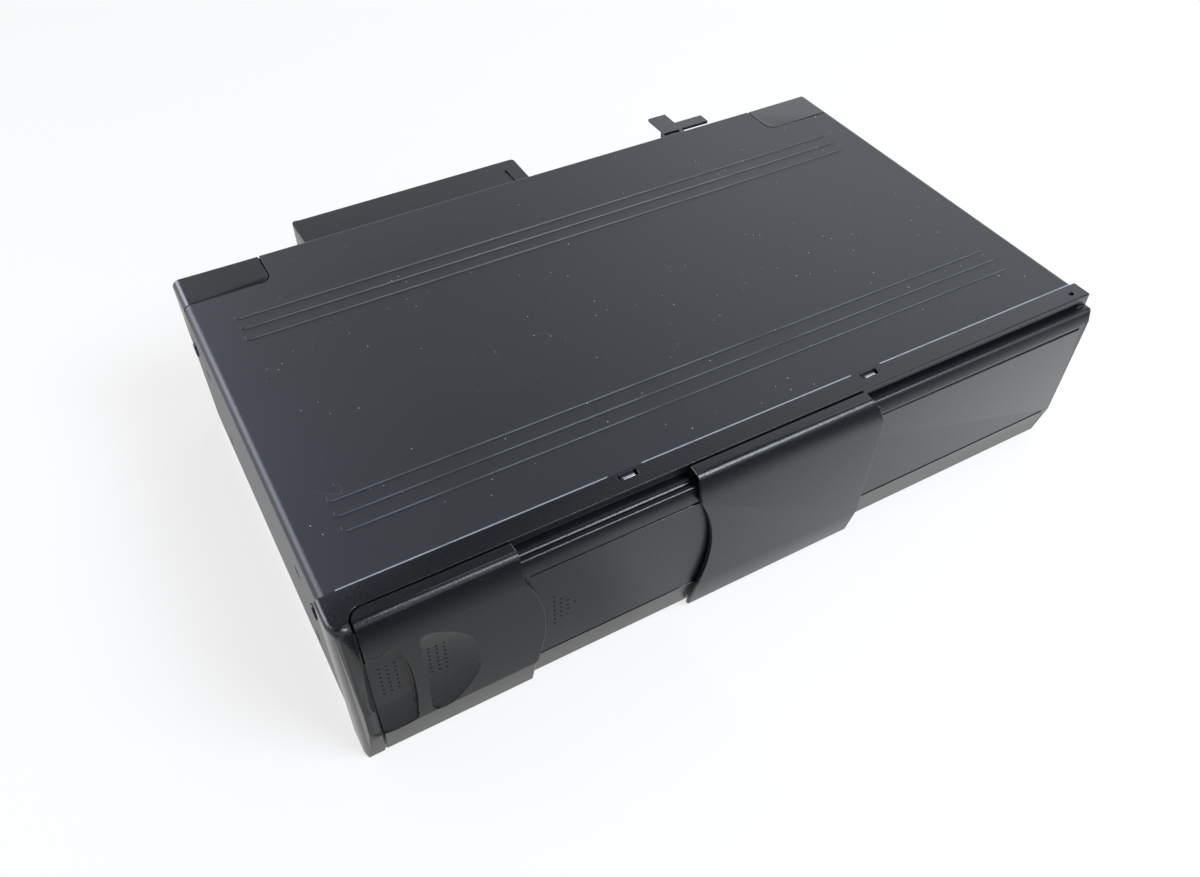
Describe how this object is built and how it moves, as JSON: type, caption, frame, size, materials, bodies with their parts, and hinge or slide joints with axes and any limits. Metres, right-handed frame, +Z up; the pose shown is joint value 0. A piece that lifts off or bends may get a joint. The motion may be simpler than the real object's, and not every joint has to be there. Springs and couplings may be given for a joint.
{
  "type": "car cd changer",
  "caption": "Boot-mounted disc changer with a two-stage sliding door, a disc magazine and a lifting playing stage in a folded metal case.",
  "frame": {"origin": "middle of the base of the bounding box", "axes": "+Z up, -Y the front with the sliding door, +X to the right seen from the front"},
  "size_m": [0.2566, 0.1774, 0.0624],
  "materials": {
    "cover_paint": "satin blue-black paint",
    "case_plastic": "fine-textured black moulding",
    "zinc_steel": "zinc-plated sheet",
    "black_screws": "black zinc",
    "magazine_plastic": "textured dark grey moulding",
    "tray_plastic": "grey moulding",
    "bright_steel": "ground rod",
    "motor_cans": "drawn steel can",
    "gear_plastic": "natural acetal",
    "pickup_metal": "die-cast sled",
    "lens": "lens holder and objective",
    "board": "green solder mask",
    "socket_plastic": "black connector moulding",
    "damper_rubber": "soft rubber"
  },
  "bodies": {
    "chassis": {"top_cover": "cover_paint", "bottom_case": "zinc_steel", "rear_panel": "case_plastic", "case_screws": "black_screws", "front_bezel": "case_plastic", "magazine_rails": "magazine_plastic", "mech_frame": "zinc_steel", "dampers": "damper_rubber", "lift_motor": "motor_cans", "main_board": "board", "interface_box": "case_plastic", "interface_lid": "case_plastic", "interface_board": "board", "data_socket": "socket_plastic", "power_socket": "socket_plastic", "cable_clip": "case_plastic"},
    "cover_slide_body": {"centre_cover": "case_plastic"},
    "door_body": {"front_door": "case_plastic"},
    "button_body": {"eject_button": "case_plastic"},
    "magazine_body": {"magazine": "magazine_plastic"},
    "stage_body": {"stage": "zinc_steel", "spindle_motor": "motor_cans", "guide_rods": "bright_steel", "sled_motor": "motor_cans"},
    "turntable_body": {"turntable": "gear_plastic"},
    "sled_body": {"pickup": "pickup_metal", "pickup_lens": "lens"},
    "sled_pinion_body": {"sled_pinion": "gear_plastic"},
    "arm_body": {"clamp_arm": "zinc_steel"},
    "puck_body": {"clamp_puck": "gear_plastic"},
    "slider_body": {"cam_slider": "zinc_steel"},
    "lift_gear_body": {"lift_gear": "gear_plastic"},
    "motor_pinion_body": {"motor_pinion": "gear_plastic"},
    "tray_1_body": {"disc_tray_1": "tray_plastic"},
    "tray_2_body": {"disc_tray_2": "tray_plastic"},
    "tray_3_body": {"disc_tray_3": "tray_plastic"},
    "tray_4_body": {"disc_tray_4": "tray_plastic"},
    "tray_5_body": {"disc_tray_5": "tray_plastic"},
    "tray_6_body": {"disc_tray_6": "tray_plastic"}
  },
  "joints": [
    {"name": "centre_cover_slide", "type": "slide", "parent": "chassis", "child": "cover_slide_body", "axis": [1, 0, 0], "range_m": [0, 0.086]},
    {"name": "front_door_slide", "type": "slide", "parent": "cover_slide_body", "child": "door_body", "axis": [1, 0, 0], "range_m": [0, 0.0536]},
    {"name": "eject_button_press", "type": "slide", "parent": "chassis", "child": "button_body", "axis": [0, 1, 0], "range_m": [0, 0.0025], "stiffness_N_per_m": 300},
    {"name": "magazine_eject", "type": "slide", "parent": "chassis", "child": "magazine_body", "axis": [0, 1, 0], "range_m": [-0.0065, 0]},
    {"name": "stage_lift", "type": "slide", "parent": "chassis", "child": "stage_body", "axis": [0, 0, 1], "range_m": [-0.0379, 0]},
    {"name": "cam_slider_slide", "type": "slide", "parent": "chassis", "child": "slider_body", "axis": [1, 0, 0], "range_m": [-0.0238, 0.0001]},
    {"name": "lift_gear_spin", "type": "hinge", "parent": "chassis", "child": "lift_gear_body", "pos_m": [0.08088, 0.0588, 0.015], "axis": [0, 0, 1], "range_deg": [-330, 5]},
    {"name": "motor_pinion_spin", "type": "hinge", "parent": "chassis", "child": "motor_pinion_body", "pos_m": [0.08808, 0.0588, 0.019], "axis": [0, 0, 1], "range_deg": [-10, 660]},
    {"name": "turntable_spin", "type": "hinge", "parent": "stage_body", "child": "turntable_body", "pos_m": [0.0615, -0.0125, 0.049], "axis": [0, 0, 1], "continuous": true},
    {"name": "pickup_slide", "type": "slide", "parent": "stage_body", "child": "sled_body", "axis": [0.766, 0.6428, 0], "range_m": [0, 0.035]},
    {"name": "sled_pinion_spin", "type": "hinge", "parent": "stage_body", "child": "sled_pinion_body", "pos_m": [0.06913, 0.01766, 0.046], "axis": [0, 0, 1], "range_deg": [-5, 562]},
    {"name": "clamp_arm_hinge", "type": "hinge", "parent": "stage_body", "child": "arm_body", "pos_m": [0.112, -0.0125, 0.0549], "axis": [0, 1, 0], "range_deg": [0, 4.5]},
    {"name": "clamp_puck_spin", "type": "hinge", "parent": "arm_body", "child": "puck_body", "pos_m": [0.0615, -0.0125, 0.0549], "axis": [0, 0, 1], "continuous": true},
    {"name": "tray_1_slide", "type": "slide", "parent": "magazine_body", "child": "tray_1_body", "axis": [1, 0, 0], "range_m": [0, 0.116]},
    {"name": "tray_2_slide", "type": "slide", "parent": "magazine_body", "child": "tray_2_body", "axis": [1, 0, 0], "range_m": [0, 0.116]},
    {"name": "tray_3_slide", "type": "slide", "parent": "magazine_body", "child": "tray_3_body", "axis": [1, 0, 0], "range_m": [0, 0.116]},
    {"name": "tray_4_slide", "type": "slide", "parent": "magazine_body", "child": "tray_4_body", "axis": [1, 0, 0], "range_m": [0, 0.116]},
    {"name": "tray_5_slide", "type": "slide", "parent": "magazine_body", "child": "tray_5_body", "axis": [1, 0, 0], "range_m": [0, 0.116]},
    {"name": "tray_6_slide", "type": "slide", "parent": "magazine_body", "child": "tray_6_body", "axis": [1, 0, 0], "range_m": [0, 0.116]}
  ],
  "couplings": [
    {"joint": "cam_slider_slide", "follows": "stage_lift", "ratio": 0.625},
    {"joint": "lift_gear_spin", "follows": "stage_lift", "rad_per_m": 148.81},
    {"joint": "motor_pinion_spin", "follows": "stage_lift", "rad_per_m": -297.62},
    {"joint": "sled_pinion_spin", "follows": "pickup_slide", "rad_per_m": 277.78},
    {"joint": "clamp_puck_spin", "follows": "turntable_spin", "ratio": 1}
  ]
}
